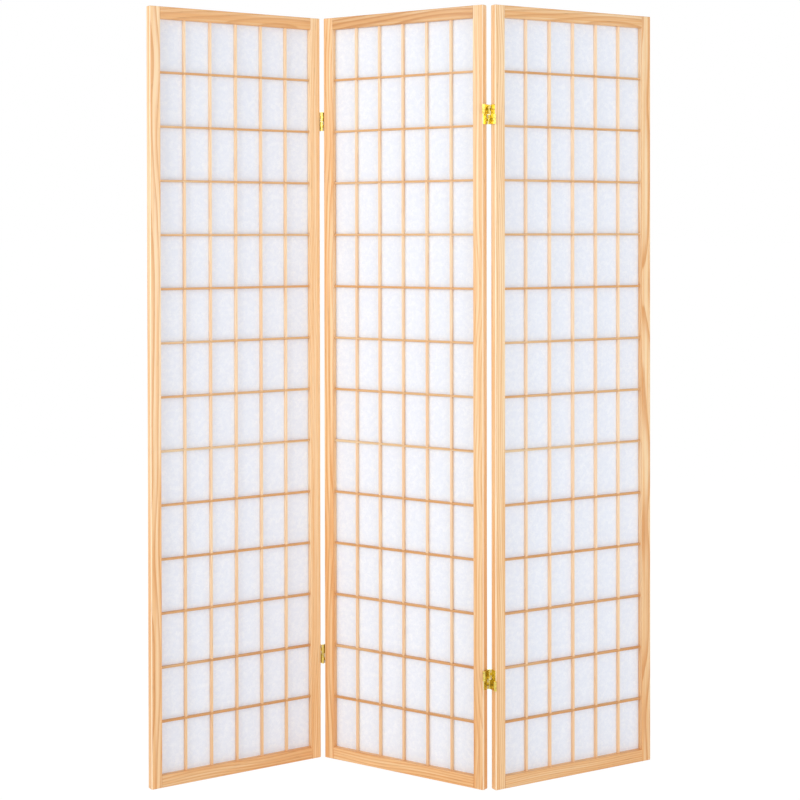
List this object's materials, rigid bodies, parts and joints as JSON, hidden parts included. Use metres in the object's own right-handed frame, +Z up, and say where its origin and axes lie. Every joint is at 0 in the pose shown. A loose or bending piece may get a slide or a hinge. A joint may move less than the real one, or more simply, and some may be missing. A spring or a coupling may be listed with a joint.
{
  "type": "shoji folding screen",
  "caption": "Free-standing folding screen of wooden lattice panels backed with paper, joined by double-action hinges so that each fold turns either way.",
  "frame": {"origin": "centre of the middle panel's bottom face, on the floor", "axes": "+Z up, +X along the middle panel towards its right edge, -Y out of its front"},
  "size_m": [0.8721, 0.8299, 1.784],
  "materials": {
    "frame_pine": "clear satin lacquer on planed pine",
    "slat_pine": "clear satin lacquer on planed pine",
    "rice_paper": "matt, with long fibres",
    "hinge_brass": "bright plated",
    "brass_pins_and_screws": "bright plated"
  },
  "bodies": {
    "middle_panel": {"middle_panel_left_stile": "frame_pine", "middle_panel_right_stile": "frame_pine", "middle_panel_bottom_rail": "frame_pine", "middle_panel_top_rail": "frame_pine", "middle_panel_upright_slats": "slat_pine", "middle_panel_cross_slats": "slat_pine", "middle_panel_paper": "rice_paper", "left_lower_hinge_middle_leaf": "hinge_brass", "left_upper_hinge_middle_leaf": "hinge_brass", "right_lower_hinge_middle_leaf": "hinge_brass", "right_upper_hinge_middle_leaf": "hinge_brass", "left_hinge_middle_screws": "brass_pins_and_screws", "right_hinge_middle_screws": "brass_pins_and_screws"},
    "left_panel": {"left_panel_left_stile": "frame_pine", "left_panel_right_stile": "frame_pine", "left_panel_bottom_rail": "frame_pine", "left_panel_top_rail": "frame_pine", "left_panel_upright_slats": "slat_pine", "left_panel_cross_slats": "slat_pine", "left_panel_paper": "rice_paper", "left_lower_hinge_left_leaf": "hinge_brass", "left_upper_hinge_left_leaf": "hinge_brass", "left_hinge_left_screws": "brass_pins_and_screws"},
    "left_swing_link": {"left_lower_hinge_swing_link": "hinge_brass", "left_upper_hinge_swing_link": "hinge_brass", "left_swing_pins": "brass_pins_and_screws"},
    "left_idle_link": {"left_lower_hinge_idle_link": "hinge_brass", "left_upper_hinge_idle_link": "hinge_brass", "left_idle_pins": "brass_pins_and_screws"},
    "right_panel": {"right_panel_left_stile": "frame_pine", "right_panel_right_stile": "frame_pine", "right_panel_bottom_rail": "frame_pine", "right_panel_top_rail": "frame_pine", "right_panel_upright_slats": "slat_pine", "right_panel_cross_slats": "slat_pine", "right_panel_paper": "rice_paper", "right_lower_hinge_right_leaf": "hinge_brass", "right_upper_hinge_right_leaf": "hinge_brass", "right_hinge_right_screws": "brass_pins_and_screws"},
    "right_swing_link": {"right_lower_hinge_swing_link": "hinge_brass", "right_upper_hinge_swing_link": "hinge_brass", "right_swing_pins": "brass_pins_and_screws"},
    "right_idle_link": {"right_lower_hinge_idle_link": "hinge_brass", "right_upper_hinge_idle_link": "hinge_brass", "right_idle_pins": "brass_pins_and_screws"}
  },
  "joints": [
    {"name": "left_fold", "type": "hinge", "parent": "middle_panel", "child": "left_swing_link", "pos_m": [-0.22575, -0.012, 0], "axis": [0, 0, 1], "range_deg": [-65.9, 114.1]},
    {"name": "left_reverse_fold", "type": "hinge", "parent": "left_swing_link", "child": "left_panel", "pos_m": [-0.24766, -0.0022, 0], "axis": [0, 0, 1], "range_deg": [-90, 0]},
    {"name": "left_idle_link_turn", "type": "hinge", "parent": "middle_panel", "child": "left_idle_link", "pos_m": [-0.22575, 0.012, 0], "axis": [0, 0, 1], "range_deg": [-90, 0]},
    {"name": "right_fold", "type": "hinge", "parent": "middle_panel", "child": "right_swing_link", "pos_m": [0.22575, 0.012, 0], "axis": [0, 0, 1], "range_deg": [-63.4, 116.6]},
    {"name": "right_reverse_fold", "type": "hinge", "parent": "right_swing_link", "child": "right_panel", "pos_m": [0.24721, 0.00125, 0], "axis": [0, 0, 1], "range_deg": [-90, 0]},
    {"name": "right_idle_link_turn", "type": "hinge", "parent": "middle_panel", "child": "right_idle_link", "pos_m": [0.22575, -0.012, 0], "axis": [0, 0, 1], "range_deg": [-90, 0]}
  ],
  "couplings": [
    {"joint": "left_idle_link_turn", "follows": "left_reverse_fold", "ratio": 1},
    {"joint": "right_idle_link_turn", "follows": "right_reverse_fold", "ratio": 1}
  ]
}
